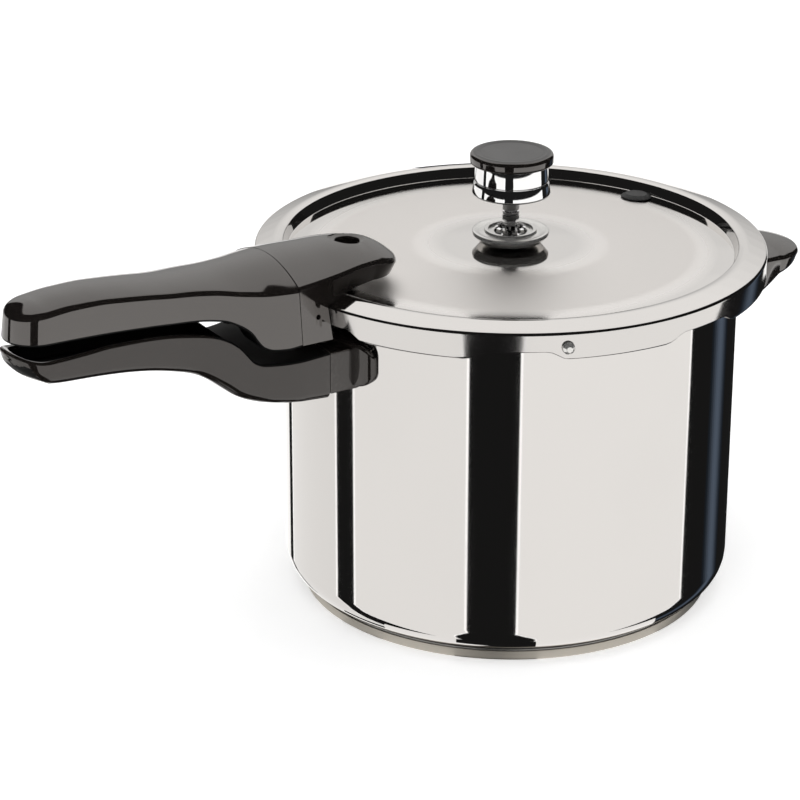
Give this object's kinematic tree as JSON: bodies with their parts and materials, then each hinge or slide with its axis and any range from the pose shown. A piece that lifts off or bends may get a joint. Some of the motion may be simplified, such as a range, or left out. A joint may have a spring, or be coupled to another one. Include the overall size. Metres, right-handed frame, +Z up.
{
  "type": "stovetop pressure cooker",
  "caption": "Polished steel pot with a locking cover, a weighted pressure regulator on a vent pipe, twin long black handles and a small helper handle.",
  "frame": {"origin": "centre of the underside of the base, on the pot's axis", "axes": "+Z up along the pot's axis, -X towards the end of the long handles, +X towards the helper handle"},
  "size_m": [0.4351, 0.244, 0.2175],
  "materials": {
    "pot_body": "polished stainless steel",
    "base_core": "satin aluminium",
    "base_cap": "brushed stainless steel",
    "body_handle": "polished black phenolic",
    "body_handle_guard": "polished black phenolic",
    "body_handle_bracket": "plated steel",
    "body_handle_screw_front": "plated steel",
    "body_handle_screw_rear": "plated steel",
    "locking_bracket": "plated steel",
    "helper_bracket": "plated steel",
    "helper_handle": "polished black phenolic",
    "helper_screw_left": "plated steel",
    "helper_screw_right": "plated steel",
    "cooking_rack": "satin aluminium",
    "sealing_ring": "matte black rubber",
    "cover_shell": "polished stainless steel",
    "stop_rivet": "bright plated metal",
    "cover_handle": "polished black phenolic",
    "cover_handle_front": "polished black phenolic",
    "cover_handle_bracket": "plated steel",
    "cover_handle_screw_front": "plated steel",
    "cover_handle_screw_rear": "plated steel",
    "vent_pipe": "bright plated metal",
    "vent_disc": "brushed stainless steel",
    "vent_nut": "plated steel",
    "vent_gasket": "matte black rubber",
    "overpressure_plug": "matte black rubber",
    "cover_lock_pin": "bright plated metal",
    "cover_lock_gasket": "matte black rubber",
    "regulator_weight": "bright plated metal",
    "regulator_cap": "polished black phenolic"
  },
  "bodies": {
    "pot": {"pot_body": "pot_body", "base_core": "base_core", "base_cap": "base_cap", "body_handle": "body_handle", "body_handle_guard": "body_handle_guard", "body_handle_bracket": "body_handle_bracket", "body_handle_screw_front": "body_handle_screw_front", "body_handle_screw_rear": "body_handle_screw_rear", "locking_bracket": "locking_bracket", "helper_bracket": "helper_bracket", "helper_handle": "helper_handle", "helper_screw_left": "helper_screw_left", "helper_screw_right": "helper_screw_right"},
    "rack": {"cooking_rack": "cooking_rack"},
    "ring": {"sealing_ring": "sealing_ring"},
    "cover": {"cover_shell": "cover_shell", "stop_rivet": "stop_rivet", "cover_handle": "cover_handle", "cover_handle_front": "cover_handle_front", "cover_handle_bracket": "cover_handle_bracket", "cover_handle_screw_front": "cover_handle_screw_front", "cover_handle_screw_rear": "cover_handle_screw_rear", "vent_pipe": "vent_pipe", "vent_disc": "vent_disc", "vent_nut": "vent_nut", "vent_gasket": "vent_gasket", "overpressure_plug": "overpressure_plug"},
    "cover_lock": {"cover_lock_pin": "cover_lock_pin", "cover_lock_gasket": "cover_lock_gasket"},
    "regulator": {"regulator_weight": "regulator_weight", "regulator_cap": "regulator_cap"}
  },
  "joints": [
    {"name": "cover_lift", "type": "slide", "parent": "pot", "child": "ring", "axis": [0, 0, 1], "range_m": [0, 0.15]},
    {"name": "cover_turn", "type": "hinge", "parent": "ring", "child": "cover", "pos_m": [0, 0, 0.172], "axis": [0, 0, 1], "range_deg": [0, 22.5]},
    {"name": "cover_lock_rise", "type": "slide", "parent": "cover", "child": "cover_lock", "axis": [0, 0, 1], "range_m": [0, 0.0045]},
    {"name": "regulator_lift", "type": "slide", "parent": "cover", "child": "regulator", "axis": [0, 0, 1], "range_m": [0, 0.03]},
    {"name": "rack_lift", "type": "slide", "parent": "pot", "child": "rack", "axis": [0, 0, 1], "range_m": [0, 0.12]}
  ]
}
